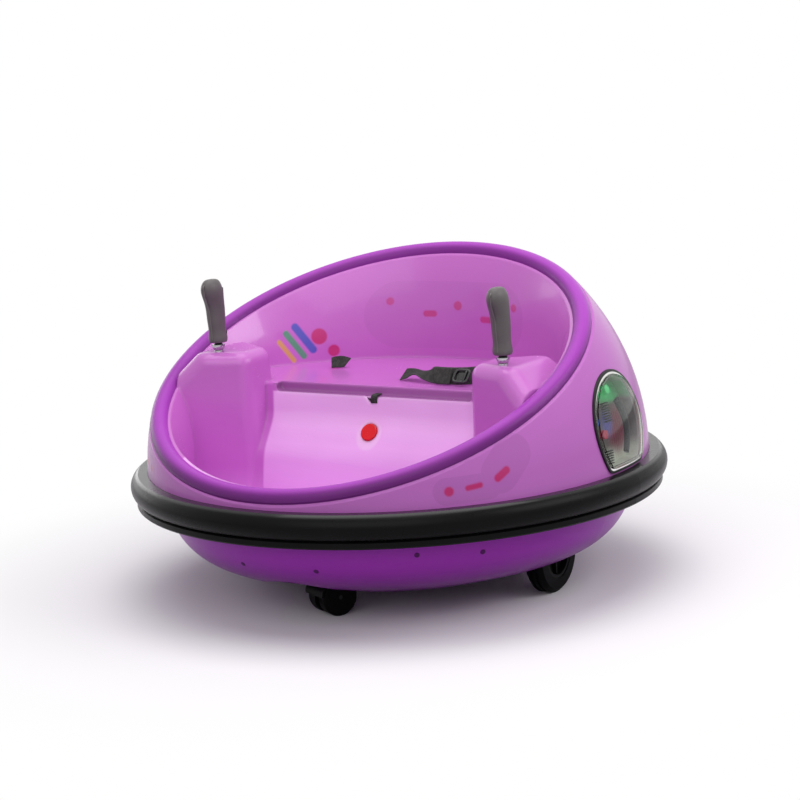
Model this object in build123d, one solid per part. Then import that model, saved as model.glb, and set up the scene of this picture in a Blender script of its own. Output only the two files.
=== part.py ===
from build123d import *
import os
from math import cos, radians, sqrt, tan

# Child's battery ride-on bumper car, steered by two joysticks. Millimetres, +Z up, origin on the
# floor under the middle of the bumper ring, front towards -Y, the child's left towards +X.
# The dome's radius drives the car: ring, hull, rim, cockpit and running gear are set off from it.

# ---- upper shell, a dome cut by the leaning rim plane ----
DOME_R = 341.0
DOME_Z = 167.0            # height of the dome's centre
SHELL = 4.0               # wall of both outer shells
RIM_TILT = 24.5           # lean of the rim plane, low at the front
LIP_D = 150.0             # flat lip under the rim, measured from the dome's centre along the lean
LIP_W = 23.0              # width of the lip, which carries tub and rim trim
SHOULDER = 4.5            # rounding from dome to lip
RIM_R = sqrt(DOME_R ** 2 - LIP_D ** 2)    # dome's edge in the rim plane
LIP_R = RIM_R - LIP_W     # opening in the lip

# ---- bumper ring, measured outwards from the dome ----
RING_LEDGE = 13.5         # outer edge of the flat top ledge
RING_BULGE = 24.0         # widest point of the rubber bulge
RING_LIP = 17.0           # lower lip
RING_TOP = 170.5          # height of the flat top ledge
RING_BULGE_Z = 151.0      # height of the widest point
RING_GROOVE_Z = 137.5     # groove between bulge and lower lip, on the joint of the two shells
RING_GROOVE = 3.0         # depth of the groove
RING_BOTTOM = 127.0
RING_BEVEL = 2.0
RING_GAP = 0.4            # fit of the ring round the shells

# ---- lower shell, each step measured inwards from the one before ----
HULL_STEP = 22.0          # hull wall, from the dome
BILGE_STEP = 18.0         # corner of the bilge before rounding, from the hull wall
FLAT_STEP = 115.0         # edge of the flat underside, from the bilge's corner
HULL_R = DOME_R - HULL_STEP
BILGE_R = HULL_R - BILGE_STEP
FLAT_R = BILGE_R - FLAT_STEP
BOTTOM_Z = 28.0
BILGE_Z = 63.0
BILGE_ROUND = 88.0
FLANGE = 4.5              # flange that carries ring and upper shell

# ---- rim trim, a half-round bead ----
BEAD_INSET = 2.0          # bead's outer edge inside the dome's edge
BEAD_W = 24.5
BEAD_H = 10.0
BEAD_FIT = 0.3            # fit over the tub's flange
BEAD_OUTER = RIM_R - BEAD_INSET
BEAD_INNER = BEAD_OUTER - BEAD_W

# ---- cockpit tub ----
TUB = 3.5                 # wall of the tub
TUB_FLANGE = 3.0          # thickness of the flange between lip and rim trim
FLANGE_INSET = 5.0        # flange's edge inside the dome's edge
RIM_D = LIP_D + TUB_FLANGE        # top of the flange, from the dome's centre along the lean
WALL_SECTIONS = [         # cockpit wall: depth under the rim, inset from the bead's inner edge
    (0.0, 3.8),
    (14.0, 10.0),
    (34.0, 16.0),
    (70.0, 20.5),
    (330.0, 34.0),
]
FLOOR_Z = 80.0            # footwell floor
FLOOR_STEP = 57.0         # footwell floor's edge inside the hull wall
FLOOR_R = HULL_R - FLOOR_STEP
FLOOR_FLARE = 38.0        # lean of the footwell's lower wall, following the bilge
FLOOR_KNEE = 85.0         # height of that lower wall
SEAT_Z = 274.0
PANEL_Y = -58.0           # seat front panel at its top
PANEL = [                 # front panel from its top down: y, z, rounding
    (PANEL_Y, SEAT_Z, 4.0),
    (-61.0, 228.0, 40.0),
    (-90.0, 184.0, 55.0),
    (-98.0, 138.0, 80.0),
]
LEDGE_W = 308.0           # ledge along the seat's front edge
LEDGE_Z = 262.0
LEDGE_DEPTH = 12.0
LEDGE_ROUND = 5.0
NOTCH_W = 26.0            # notch in the panel for the crotch strap
NOTCH_FOOT = 6.0
NOTCH_DEPTH = 9.0

# ---- joystick pods ----
POD_Z = 320.0             # flat tops of the two pods
POD_IN = 105.5            # inner face at its top, from the bead's inner edge
POD_OUT = 31.0            # outer edge of the flat top, from the bead's inner edge
POD_INNER = BEAD_INNER - POD_IN
POD_OUTER = BEAD_INNER - POD_OUT
POD_FRONT_Y = -97.0       # front face at its inner corner
POD_FRONT_TURN = 22.0     # turn of the front face, forwards to the outside
POD_REAR_Y = -37.0        # rear face at its inner corner
POD_REAR_TURN = 32.0      # turn of the rear face, rearwards to the outside
POD_DRAFT = 2.0           # lean of the inner face
POD_FALL = 45.0           # lean of the outer face, down to the rim
POD_CORNER = 22.0         # rounding of the upright corners
POD_ROUND = 17.0          # rounding of the top

# ---- side lamps ----
LAMP_Y = 14.0
LAMP_Z = 230.0            # middle of the round top
LAMP_R = 66.0
LAMP_FOOT = 46.0          # half width of the flat foot
LAMP_FOOT_GAP = 5.5       # foot above the bumper ring
LAMP_FOOT_Z = RING_TOP + LAMP_FOOT_GAP
LAMP_SIDE = 61.0          # half width half way down to the foot
LAMP_CORNER = 10.0
LAMP_DEPTH = 22.0
LAMP_WALL = 2.5
LAMP_FIT = 0.6            # opening in the dome beyond the lamp
GASKET_OVER = 3.2         # gasket beyond the lamp's outline
GASKET_T = 2.5
LENS_FIT = 0.3
LENS_T = 3.0
LENS_PROUD = 5.0          # outer face of the lens above the dome
LED_R = 6.0
LED_H = 8.0
LED_SPOTS = [             # place of each lamp's lights: towards the rear, height
    (19.0, 276.0),
    (-30.0, 241.0),
    (-16.0, 222.0),
]

# ---- drive wheels ----
DRIVE_IN = 90.0           # middle of a drive wheel, inwards from the hull wall
DRIVE_X = HULL_R - DRIVE_IN
DRIVE_R = 52.0
DRIVE_W = 26.0
TYRE_EDGE = 5.0           # bevel of the tyre's shoulders
TYRE_GROOVE = 1.5         # depth and half width of its two grooves
TYRE_GROOVES = (-4.0, 4.0)
HUB_R = 33.0
HUB_RIM = 4.5             # wall of the hub's rim
HUB_BOSS_R = 10.0
HUB_WEB = 3.0             # half thickness of the disc between boss and rim
HUB_DISH = 3.0            # boss below the tyre's side
HUB_BITE = 1.5            # ribs and disc run into rim and boss by this
HUB_RIBS = 6
DRIVE_AXLE_R = 4.0
AXLE_TAIL = 60.0          # axle from the wheel's middle into its gearbox
AXLE_CAP_R = 7.0
AXLE_CAP = 4.6            # length of the axle's head
WHEEL_ROOM = 8.0          # room in a wheel well round the tyre
WELL_WALL = 3.5
AXLE_FIT = 0.1
HUB_FIT = 0.3             # hub's boss to the axle's head and to the gearbox

# ---- gearboxes, battery and its door ----
GEAR_LONG = 61.0
GEAR_GAP = 15.0           # gearbox's outer end to the wheel's inner side
GEAR_W = 56.0
GEAR_Z = (38.0, 92.0)
GEAR_ROUND = 6.0
GEAR_FOOT = 7.0           # radius of the posts that carry it
GEAR_BOSS_R = 11.0
GEAR_OUTER = DRIVE_X - DRIVE_W / 2 - GEAR_GAP
GEAR_INNER = GEAR_OUTER - GEAR_LONG
MOTOR_R = 14.0
MOTOR_L = 40.0
BATTERY = (101.0, 70.0, 47.0)
BATTERY_Y = 80.0
BATTERY_LIFT = 0.3
DOOR = (130.0, 100.0)
DOOR_T = 2.5
DOOR_GAP = 0.4

# ---- power button ----
BUTTON_Z = 215.0
BUTTON_R = 12.0
BUTTON_PROUD = 3.0        # front face above the panel
BUTTON_L = 16.0
BUTTON_ROUND = 1.5
BUTTON_GAP = 0.4

# ---- casters ----
CASTER_IN = 104.0         # swivel axis, inwards from the hull wall
CASTER_Y = HULL_R - CASTER_IN
CASTER_PIN_R = 3.5
CASTER_PIN_Z = 48.0
CASTER_HUB_R = 8.0
CASTER_PLATE_R = 24.0
CASTER_PLATE_T = 4.0
CASTER_R = 25.0
CASTER_WHEEL_W = 17.0
CASTER_WHEEL_ROUND = 3.0
CASTER_AXLE_R = 3.0
CASTER_TRAIL = 22.0
CASTER_WEB = 8.0
CASTER_SIDE_GAP = 0.5     # wheel to web
CASTER_TURN = -27.0       # the casters as they come to rest
CASTER_ROOM_R = 66.0
CASTER_CEILING = 66.0
HOOD_GAP = 1.5
HOOD_T = 2.5
HOOD_FRONT = 4.0          # hood's front edge above the axle
HOOD_BACK = 35.0          # lean of the hood's rear edge
NECK_DEPTH = 14.0

# ---- joysticks, heights above a pod's top ----
STICK_IN = 26.0           # inwards from the outer edge of the pod's top
STICK_X = POD_OUTER - STICK_IN
STICK_Y = -92.0
STICK_PIVOT = 9.0         # middle of the ball
STICK_BALL_R = 6.0
STICK_R = 4.2
CUP_R = 9.0
CUP_BORE_R = 6.4
CUP_RIM = 1.0             # cup's rim above the pivot
CUP_FOOT_R = 6.5
CUP_FOOT_T = 2.0
STUD_R = 4.0
STUD_FIT = 0.2
NUT_R = 7.5
NUT_T = 5.0
GRIP_FOOT = 13.5          # grip's lower end
GRIP_DEPTH = 20.0         # stem inside the grip
GRIP_SECTIONS = [         # height above the grip's foot, forward shift, half width, half depth
    (0.0, 0.0, 11.6, 11.8),
    (3.0, 0.0, 12.8, 13.0),
    (9.0, 0.0, 12.6, 12.8),
    (14.0, 0.2, 12.0, 12.4),
    (46.0, 2.0, 12.6, 13.6),
    (64.0, 5.5, 13.2, 16.6),
    (77.0, 7.5, 12.4, 17.2),
    (84.0, 7.5, 9.6, 13.6),
    (87.0, 7.0, 5.0, 7.5),
]

# ---- seat belt ----
BELT_W = 25.0
BELT_T = 2.0
BELT_LIFT = 0.3           # lowest edge above the seat
BELT_LEAN = 50.0          # the webbing lies on edge, leaning back
BELTS = [                 # piece, one end (x, y), other end (x, y)
    ("strap_left", (134.0, 6.0), (10.0, 0.0)),
    ("strap_right", (-150.0, 58.0), (-112.0, 70.0)),
]
BUCKLE = (30.0, 26.0, 8.0)
BUCKLE_X = 105.0          # place on the left strap
BUCKLE_ROUND = 2.5
CROTCH_W = 24.0
CROTCH_L = 30.0

BIG = 1500.0


def tilted(shape):
    """Carries a shape from the rim's own frame, dome centre at 0 and the rim's axis along Z."""
    return Location((0, 0, DOME_Z), (RIM_TILT, 0, 0)) * shape


def above(height):
    return Pos(0, 0, height + BIG / 2) * Box(BIG, BIG, BIG)


def below_plane(distance):
    """Everything under a plane parallel to the rim."""
    return tilted(Pos(0, 0, distance - BIG / 2) * Box(BIG, BIG, BIG))


def turned(points):
    """Solid of revolution about Z from a closed outline of (radius, height) points."""
    return revolve(Plane.XZ * make_face(Polyline(*points, close=True)), Axis.Z)


def disc(radius, low, high):
    return Pos(0, 0, (low + high) / 2) * Cylinder(radius, high - low)


def tube(outer, inner, low, high):
    return disc(outer, low, high) - disc(inner, low - 1, high + 1)


def across(shape):
    """Turns a shape's own axis from Z to X."""
    return Rot(0, 90, 0) * shape


# ---------------------------------------------------------------- outer shells and ring
def dome_half(radius, top, rounding):
    """Half section of the dome with a rounded shoulder, in the rim's frame."""
    half = Circle(radius) & Pos(radius / 2, (top - radius) / 2) * Rectangle(radius, radius + top)
    return fillet(half.vertices().sort_by(Axis.X)[-1], rounding)


def lamp_outline(grow):
    """Shield-shaped outline of a side lamp, seen from the side: y to the rear, z up."""
    half_h = (LAMP_Z + LAMP_FOOT_Z) / 2
    top = CenterArc((LAMP_Y, LAMP_Z), LAMP_R, 0, 180)
    left = ThreePointArc((LAMP_Y - LAMP_R, LAMP_Z), (LAMP_Y - LAMP_SIDE, half_h),
                         (LAMP_Y - LAMP_FOOT, LAMP_FOOT_Z))
    foot = Line((LAMP_Y - LAMP_FOOT, LAMP_FOOT_Z), (LAMP_Y + LAMP_FOOT, LAMP_FOOT_Z))
    right = ThreePointArc((LAMP_Y + LAMP_FOOT, LAMP_FOOT_Z), (LAMP_Y + LAMP_SIDE, half_h),
                          (LAMP_Y + LAMP_R, LAMP_Z))
    shield = make_face([top, left, foot, right])
    shield = fillet(shield.vertices().sort_by(Axis.Y)[:2], LAMP_CORNER)
    return offset(shield, amount=grow) if grow else shield


def lamp_prism(side, grow):
    """The lamp's outline carried outwards from the car's middle to one side."""
    prism = extrude(Plane.YZ * lamp_outline(grow), amount=2 * DOME_R)
    return prism if side > 0 else mirror(prism, about=Plane.YZ)


def ball(radius):
    return Pos(0, 0, DOME_Z) * Sphere(radius)


def lamp_layer(side, grow, inner, outer):
    """Curved slab of a lamp: its outline between two spheres about the dome's centre."""
    return (lamp_prism(side, grow) & ball(outer)) - ball(inner)


def upper_shell():
    section = dome_half(DOME_R, LIP_D, SHOULDER)
    section -= dome_half(DOME_R - SHELL, LIP_D - SHELL, SHOULDER - SHELL)
    section -= Pos(LIP_R / 2, LIP_D) * Rectangle(LIP_R, 4 * SHELL)
    dome = tilted(revolve(Plane.XZ * section, Axis.Z)) & above(RING_GROOVE_Z)
    for side in (1, -1):
        dome -= lamp_prism(side, LAMP_FIT)
    return dome


def bumper_ring():
    inner = DOME_R + RING_GAP
    seat = RING_GROOVE_Z - FLANGE
    ledge, lip, bulge_r = DOME_R + RING_LEDGE, DOME_R + RING_LIP, DOME_R + RING_BULGE
    neck = (lip + RING_BEVEL / 2, RING_GROOVE_Z + RING_BEVEL)
    line = Polyline((ledge, RING_TOP), (inner, RING_TOP), (inner, seat), (HULL_R, seat),
                    (HULL_R, RING_BOTTOM), (lip - RING_BEVEL, RING_BOTTOM),
                    (lip, RING_BOTTOM + RING_BEVEL), (lip, RING_GROOVE_Z - RING_BEVEL),
                    (lip - RING_GROOVE, RING_GROOVE_Z), neck)
    bulge = ThreePointArc(neck, (bulge_r, RING_BULGE_Z), (ledge, RING_TOP))
    return revolve(Plane.XZ * make_face([line, bulge]), Axis.Z)


def hull_solid():
    """The lower shell's outer form, filled."""
    top = RING_GROOVE_Z
    outline = make_face(Polyline((0, BOTTOM_Z), (FLAT_R, BOTTOM_Z), (BILGE_R, BILGE_Z),
                                 (HULL_R, RING_BOTTOM), (HULL_R, top), (0, top), close=True))
    bilge = outline.vertices().sort_by_distance(Vertex(BILGE_R, BILGE_Z, 0))[0]
    return revolve(Plane.XZ * fillet(bilge, BILGE_ROUND), Axis.Z)


def drive_well(side, grow):
    """Room for a drive wheel: an arch with a straight mouth."""
    wide = DRIVE_W + 2 * (WHEEL_ROOM + grow)
    room = DRIVE_R + WHEEL_ROOM + grow
    arch = Pos(side * DRIVE_X, 0, DRIVE_R) * across(Cylinder(room, wide))
    return arch + Pos(side * DRIVE_X, 0, DRIVE_R / 2) * Box(wide, 2 * room, DRIVE_R)


def caster_well(end, grow):
    return Pos(0, end * CASTER_Y, 0) * disc(CASTER_ROOM_R + grow, 0, CASTER_CEILING + grow)


def wells(grow):
    rooms = [drive_well(side, grow) for side in (1, -1)]
    return rooms + [caster_well(end, grow) for end in (1, -1)]


def lower_shell():
    solid = hull_solid()
    top = solid.faces().sort_by(Axis.Z)[-1]
    shell = offset(solid, amount=-SHELL, openings=top)
    shell += tube(DOME_R - SHELL, HULL_R - SHELL, RING_GROOVE_Z - FLANGE, RING_GROOVE_Z)
    for room in wells(WELL_WALL):
        shell += room & solid
    for room in wells(0):
        shell -= room
    post = disc(GEAR_FOOT, BOTTOM_Z + SHELL / 2, GEAR_Z[0])
    for side in (1, -1):
        shell -= Pos(side * DRIVE_X / 2, 0, DRIVE_R) * across(Cylinder(GEAR_BOSS_R + 1, DRIVE_X))
        for x in (GEAR_INNER + GEAR_FOOT, GEAR_OUTER - 2 * GEAR_FOOT):
            for y in (-GEAR_W / 2 + GEAR_FOOT, GEAR_W / 2 - GEAR_FOOT):
                shell += Pos(side * x, y, 0) * post
    return shell - Pos(0, BATTERY_Y, BOTTOM_Z) * Box(DOOR[0], DOOR[1], 2 * (DOOR_T + DOOR_GAP))


def battery_door():
    door = Box(DOOR[0] - 2 * DOOR_GAP, DOOR[1] - 2 * DOOR_GAP, DOOR_T)
    return Pos(0, BATTERY_Y, BOTTOM_Z + DOOR_T / 2) * door


def battery():
    seat = BOTTOM_Z + SHELL + BATTERY_LIFT
    return Pos(0, BATTERY_Y, seat + BATTERY[2] / 2) * Box(*BATTERY)


# ---------------------------------------------------------------- cockpit tub and rim
def wall_section(depth, inset, grow):
    """Round section of the cockpit wall in a plane parallel to the rim, straight below the rim."""
    shift = -depth * tan(radians(RIM_TILT))
    return tilted(Pos(0, shift, RIM_D - depth) * Circle(BEAD_INNER - inset + grow))


def cockpit_wall(grow):
    """Room that the cockpit is cut to: upright, with draft low down and a flare at the rim."""
    inset = WALL_SECTIONS[0][1]
    wall = loft([wall_section(depth, step, grow) for depth, step in WALL_SECTIONS])
    return wall + loft([wall_section(0, inset, grow), wall_section(-LIP_D, inset, grow)], ruled=True)


def footwell_limit(grow):
    """Flared bowl that keeps the footwell inside the lower shell."""
    low = FLOOR_Z - grow
    reach = FLOOR_R + grow
    flare = FLOOR_KNEE * tan(radians(FLOOR_FLARE))
    return turned([(0, low), (reach, low), (reach + flare, low + FLOOR_KNEE),
                   (BIG / 2, low + FLOOR_KNEE), (BIG / 2, BIG / 2), (0, BIG / 2)])


def seat_ledge(grow):
    """Ledge cut along the seat's front edge, its lower corners rounded."""
    high = SEAT_Z - LEDGE_Z + grow
    outline = Pos(0, SEAT_Z) * Rectangle(LEDGE_W + 2 * grow, 2 * high)
    outline = fillet(outline.vertices().sort_by(Axis.Y)[:2], LEDGE_ROUND + grow)
    cut = extrude(Plane.XZ * outline, amount=2 * LEDGE_DEPTH + grow)
    return Pos(0, PANEL_Y + LEDGE_DEPTH + grow, 0) * cut


def seat_block(grow):
    """Everything under the seat, behind the flared front panel."""
    corners = [(y, z) for y, z, _ in PANEL]
    toe = corners[-1][0]
    profile = make_face(Polyline(*corners, (toe, 0), (DOME_R, 0), (DOME_R, SEAT_Z), close=True))
    for y, z, rounding in PANEL:
        corner = profile.vertices().sort_by_distance(Vertex(y, z, 0))[0]
        profile = fillet(corner, rounding)
    if grow:
        profile = offset(profile, amount=-grow)
    return extrude(Plane.YZ * profile, amount=BIG / 2, both=True) - seat_ledge(grow)


def pod(side, grow):
    """One joystick pod: a rounded block with splayed faces that falls towards the rim."""
    sections = []
    for height in (0.0, POD_Z - grow):
        below = POD_Z - height
        inner = POD_INNER - below * tan(radians(POD_DRAFT)) + grow
        outer = POD_OUTER + (below - grow / cos(radians(POD_FALL))) * tan(radians(POD_FALL))
        corners = []
        for x in (inner, outer):
            away = x - POD_INNER
            ahead = away * tan(radians(POD_FRONT_TURN)) - grow / cos(radians(POD_FRONT_TURN))
            behind = away * tan(radians(POD_REAR_TURN)) - grow / cos(radians(POD_REAR_TURN))
            corners.append([(x, POD_FRONT_Y - ahead), (x, POD_REAR_Y + behind)])
        outline = Polyline(corners[0][0], corners[1][0], corners[1][1], corners[0][1], close=True)
        sections.append(Pos(0, 0, height) * make_face(outline))
    block = loft(sections, ruled=True)
    upright = block.edges().filter_by(lambda edge: abs(edge.center().Z - (POD_Z - grow) / 2) < 1)
    block = fillet(upright, POD_CORNER - grow)
    block = fillet(block.faces().sort_by(Axis.Z)[-1].edges(), POD_ROUND - grow)
    return block if side > 0 else mirror(block, about=Plane.YZ)


def cavity(grow):
    """The open space of the cockpit, grown outwards to give the tub its wall."""
    space = (cockpit_wall(grow) & footwell_limit(grow)) - seat_block(grow)
    for side in (1, -1):
        space -= pod(side, grow)
    return space


def cockpit_tub():
    flange = disc(RIM_R - FLANGE_INSET, LIP_D, RIM_D)
    skin = (cavity(TUB) - cavity(0)) & below_plane(RIM_D)
    skin += tilted(flange) - cockpit_wall(0)
    for side in (1, -1):
        cap = (cockpit_wall(TUB) & pod(side, 0)) - (cockpit_wall(0) & pod(side, TUB))
        skin += (cap & above(POD_Z / 2)) - below_plane(RIM_D)
        skin -= Pos(side * STICK_X, STICK_Y, 0) * disc(STUD_R + STUD_FIT, POD_Z / 2, POD_Z + 1)
    notch = Polyline((-NOTCH_W / 2, LEDGE_Z + 1), (NOTCH_W / 2, LEDGE_Z + 1),
                     (NOTCH_FOOT / 2, LEDGE_Z - NOTCH_DEPTH),
                     (-NOTCH_FOOT / 2, LEDGE_Z - NOTCH_DEPTH), close=True)
    skin -= Pos(0, PANEL_Y + TUB, 0) * extrude(Plane.XZ * make_face(notch), amount=3 * TUB)
    return skin - on_panel(disc(BUTTON_R + BUTTON_GAP, -BUTTON_L, BUTTON_L))


def on_panel(shape):
    """Carries a shape from its own axis along Z to the button's place, square to the panel."""
    (knee_y, knee_z, _), (flare_y, flare_z, _) = PANEL[1:3]
    place_y = knee_y + (BUTTON_Z - knee_z) * (flare_y - knee_y) / (flare_z - knee_z)
    outwards = Vector(0, flare_z - knee_z, knee_y - flare_y)
    return Plane(origin=(0, place_y, BUTTON_Z), x_dir=(1, 0, 0), z_dir=outwards) * shape


def power_button():
    """Round push button that slides in the panel."""
    button = disc(BUTTON_R, BUTTON_PROUD - BUTTON_L, BUTTON_PROUD)
    return on_panel(fillet(button.edges().sort_by(Axis.Z)[-1], BUTTON_ROUND))


def rim_trim():
    seat = LIP_D + BEAD_FIT
    rebate = RIM_R - FLANGE_INSET + BEAD_FIT
    line = Polyline((BEAD_INNER, RIM_D), (rebate, RIM_D), (rebate, seat), (BEAD_OUTER, seat),
                    (BEAD_OUTER, RIM_D))
    crown = (BEAD_OUTER - BEAD_W / 2, RIM_D + BEAD_H)
    bead = ThreePointArc((BEAD_OUTER, RIM_D), crown, (BEAD_INNER, RIM_D))
    return tilted(revolve(Plane.XZ * make_face([line, bead]), Axis.Z))


# ---------------------------------------------------------------- side lamps
def lamp_gasket(side):
    return lamp_layer(side, GASKET_OVER, DOME_R, DOME_R + GASKET_T) - lamp_prism(side, LENS_FIT)


def lamp_reflector(side):
    pan = lamp_layer(side, 0, DOME_R - LAMP_DEPTH, DOME_R + GASKET_T)
    return pan - lamp_layer(side, -LAMP_WALL, DOME_R - LAMP_DEPTH + LAMP_WALL, 2 * DOME_R)


def lamp_lens(side):
    face = DOME_R + LENS_PROUD
    lens = lamp_layer(side, -LAMP_WALL - LENS_FIT, DOME_R, face)
    return lens - lamp_layer(side, -LAMP_WALL - LENS_T, DOME_R - 1, face - LENS_T)


def lamp_lights(side):
    lights = []
    floor = DOME_R - LAMP_DEPTH + LAMP_WALL
    for back, height in LED_SPOTS:
        lean = Vector(sqrt(DOME_R ** 2 - back ** 2 - (height - DOME_Z) ** 2), back, height - DOME_Z)
        spot = Plane(origin=Vector(0, 0, DOME_Z) + lean.normalized() * (floor - 1), z_dir=lean)
        led = (spot * disc(LED_R, 0, LED_H + 1)) - ball(floor)
        lights.append(led if side > 0 else mirror(led, about=Plane.YZ))
    return Compound(children=lights)


# ---------------------------------------------------------------- wheels
def on_wheel_axis(side, shape):
    """Carries a wheel part from its own axis along Z, outer face up, to its place on the car."""
    return Pos(side * DRIVE_X, 0, DRIVE_R) * Rot(0, side * 90, 0) * shape


def drive_tyre(side):
    half, deep = DRIVE_W / 2, DRIVE_R - TYRE_GROOVE
    points = [(HUB_R, -half), (DRIVE_R - TYRE_EDGE, -half), (DRIVE_R, -half + TYRE_EDGE)]
    for middle in TYRE_GROOVES:
        low, high = middle - TYRE_GROOVE, middle + TYRE_GROOVE
        points += [(DRIVE_R, low), (deep, low), (deep, high), (DRIVE_R, high)]
    points += [(DRIVE_R, half - TYRE_EDGE), (DRIVE_R - TYRE_EDGE, half), (HUB_R, half)]
    return on_wheel_axis(side, turned(points))


def drive_hub(side):
    half, bore = DRIVE_W / 2, DRIVE_AXLE_R + AXLE_FIT
    rim, boss = HUB_R - HUB_RIM, HUB_BOSS_R
    hub = tube(HUB_R, rim, -half + 1, half - 1) + tube(rim + HUB_BITE, bore, -HUB_WEB, HUB_WEB)
    hub += tube(boss, bore, -half, half - HUB_DISH)
    rib = Box(rim - boss + 2 * HUB_BITE, HUB_RIM / 2, DRIVE_W - 3 * HUB_DISH)
    for turn in range(HUB_RIBS):
        hub += Rot(0, 0, turn * 360 / HUB_RIBS) * Pos((rim + boss) / 2, 0, 0) * rib
    return on_wheel_axis(side, hub)


def drive_axle(side):
    """Axle whose head holds the hub's boss."""
    head = DRIVE_W / 2 - HUB_DISH + HUB_FIT
    rod = disc(DRIVE_AXLE_R, -AXLE_TAIL, head) + disc(AXLE_CAP_R, head, head + AXLE_CAP)
    return on_wheel_axis(side, rod)


def gearbox(side):
    middle, height = (GEAR_INNER + GEAR_OUTER) / 2, sum(GEAR_Z) / 2
    case = Pos(side * middle, 0, height) * Box(GEAR_LONG, GEAR_W, GEAR_Z[1] - GEAR_Z[0])
    case = fillet(case.edges().filter_by(Axis.X), GEAR_ROUND)
    reach = DRIVE_X - DRIVE_W / 2 - HUB_FIT
    boss = across(Cylinder(GEAR_BOSS_R, reach - GEAR_INNER))
    case += Pos(side * (reach + GEAR_INNER) / 2, 0, DRIVE_R) * boss
    case += Pos(side * GEAR_INNER, 0, height) * across(Cylinder(MOTOR_R, MOTOR_L))
    return case - on_wheel_axis(side, disc(DRIVE_AXLE_R, -AXLE_TAIL, 0))


def on_caster(end, shape):
    return Pos(0, end * CASTER_Y, 0) * Rot(0, 0, CASTER_TURN) * shape


def at_caster_axle(shape):
    return Pos(0, CASTER_TRAIL, CASTER_R) * shape


def caster_mount(end):
    plate = disc(CASTER_PLATE_R, CASTER_CEILING - CASTER_PLATE_T, CASTER_CEILING)
    return on_caster(end, plate + disc(CASTER_PIN_R, CASTER_PIN_Z, CASTER_CEILING))


def caster_fork(end):
    """Middle web with a hood over both wheels and a neck round the swivel pin."""
    wide = CASTER_WEB + 2 * (CASTER_WHEEL_W + 2 * CASTER_SIDE_GAP)
    inner = CASTER_R + HOOD_GAP
    outer = inner + HOOD_T
    half_space = Box(BIG, BIG, BIG)
    hood = across(Cylinder(outer, wide) - Cylinder(inner, wide + 1))
    hood -= Pos(0, 0, HOOD_FRONT - BIG / 2) * half_space
    hood -= Rot(-HOOD_BACK, 0, 0) * Pos(0, BIG / 2, 0) * half_space
    web = across(Cylinder(outer, CASTER_WEB)) - Pos(0, 0, -2 * HOOD_FRONT - BIG / 2) * half_space
    neck = disc(CASTER_HUB_R, CASTER_PIN_Z - 2, CASTER_CEILING - CASTER_PLATE_T - 1)
    neck_h = CASTER_PIN_Z - CASTER_R + HOOD_FRONT
    neck += Pos(0, HOOD_FRONT, (CASTER_PIN_Z + CASTER_R) / 2) * Box(CASTER_WEB, NECK_DEPTH, neck_h)
    fork = at_caster_axle(hood + web) + neck
    fork -= disc(CASTER_PIN_R + AXLE_FIT, CASTER_PIN_Z - AXLE_FIT, CASTER_CEILING)
    fork -= at_caster_axle(across(Cylinder(CASTER_AXLE_R + AXLE_FIT, wide)))
    room = CASTER_WHEEL_W + 2
    for x in (-1, 1):
        shift = x * (CASTER_WEB / 2 + room / 2)
        fork -= at_caster_axle(Pos(shift, 0, 0) * across(Cylinder(inner, room)))
    return on_caster(end, fork)


def caster_wheels(end):
    wheel = fillet(Cylinder(CASTER_R, CASTER_WHEEL_W).edges(), CASTER_WHEEL_ROUND)
    wheel -= Cylinder(CASTER_AXLE_R, 2 * CASTER_WHEEL_W)
    shift = CASTER_WEB / 2 + CASTER_SIDE_GAP + CASTER_WHEEL_W / 2
    return Compound(children=[on_caster(end, at_caster_axle(Pos(x * shift, 0, 0) * across(wheel)))
                              for x in (-1, 1)])


def caster_axle(end):
    rod = across(Cylinder(CASTER_AXLE_R, CASTER_WEB + 2 * CASTER_WHEEL_W))
    return on_caster(end, at_caster_axle(rod))


# ---------------------------------------------------------------- joysticks
def at_stick(side, shape):
    return Pos(side * STICK_X, STICK_Y, POD_Z) * shape


def joystick_base(side):
    """Open ball cup on a foot, with a stud and nut through the pod's top."""
    cup = Pos(0, 0, STICK_PIVOT) * (Sphere(CUP_R) - Sphere(CUP_BORE_R))
    cup -= above(STICK_PIVOT + CUP_RIM)
    base = cup + disc(CUP_FOOT_R, 0, CUP_FOOT_T) - Pos(0, 0, STICK_PIVOT) * Sphere(CUP_BORE_R)
    base += disc(STUD_R, -TUB - NUT_T, STICK_PIVOT - CUP_BORE_R - 1)
    base += disc(NUT_R, -TUB - NUT_T, -TUB)
    return at_stick(side, base)


def joystick_stem(side):
    """Ball in the cup, and the stem that rises from it into the grip."""
    stem = Pos(0, 0, STICK_PIVOT) * Sphere(STICK_BALL_R)
    return at_stick(side, stem + disc(STICK_R, STICK_PIVOT, GRIP_FOOT + GRIP_DEPTH))


def joystick_grip(side):
    sections = []
    for height, ahead, half_w, half_d in GRIP_SECTIONS:
        sections.append(Pos(0, -ahead, GRIP_FOOT + height) * Ellipse(half_w, half_d))
    return at_stick(side, loft(sections) - disc(STICK_R, 0, GRIP_FOOT + GRIP_DEPTH))


# ---------------------------------------------------------------- seat belt
def strap(start, end):
    """A strap from start to end, its lower edge just above the seat."""
    run = Vector(end[0] - start[0], end[1] - start[1], 0)
    lean = Rot(BELT_LEAN, 0, 0) * Box(run.length, BELT_W, BELT_T)
    rise = -lean.bounding_box().min.Z
    plane = Plane(origin=((start[0] + end[0]) / 2, (start[1] + end[1]) / 2,
                          SEAT_Z + BELT_LIFT + rise), x_dir=run, z_dir=(0, 0, 1))
    return plane * lean


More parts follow.
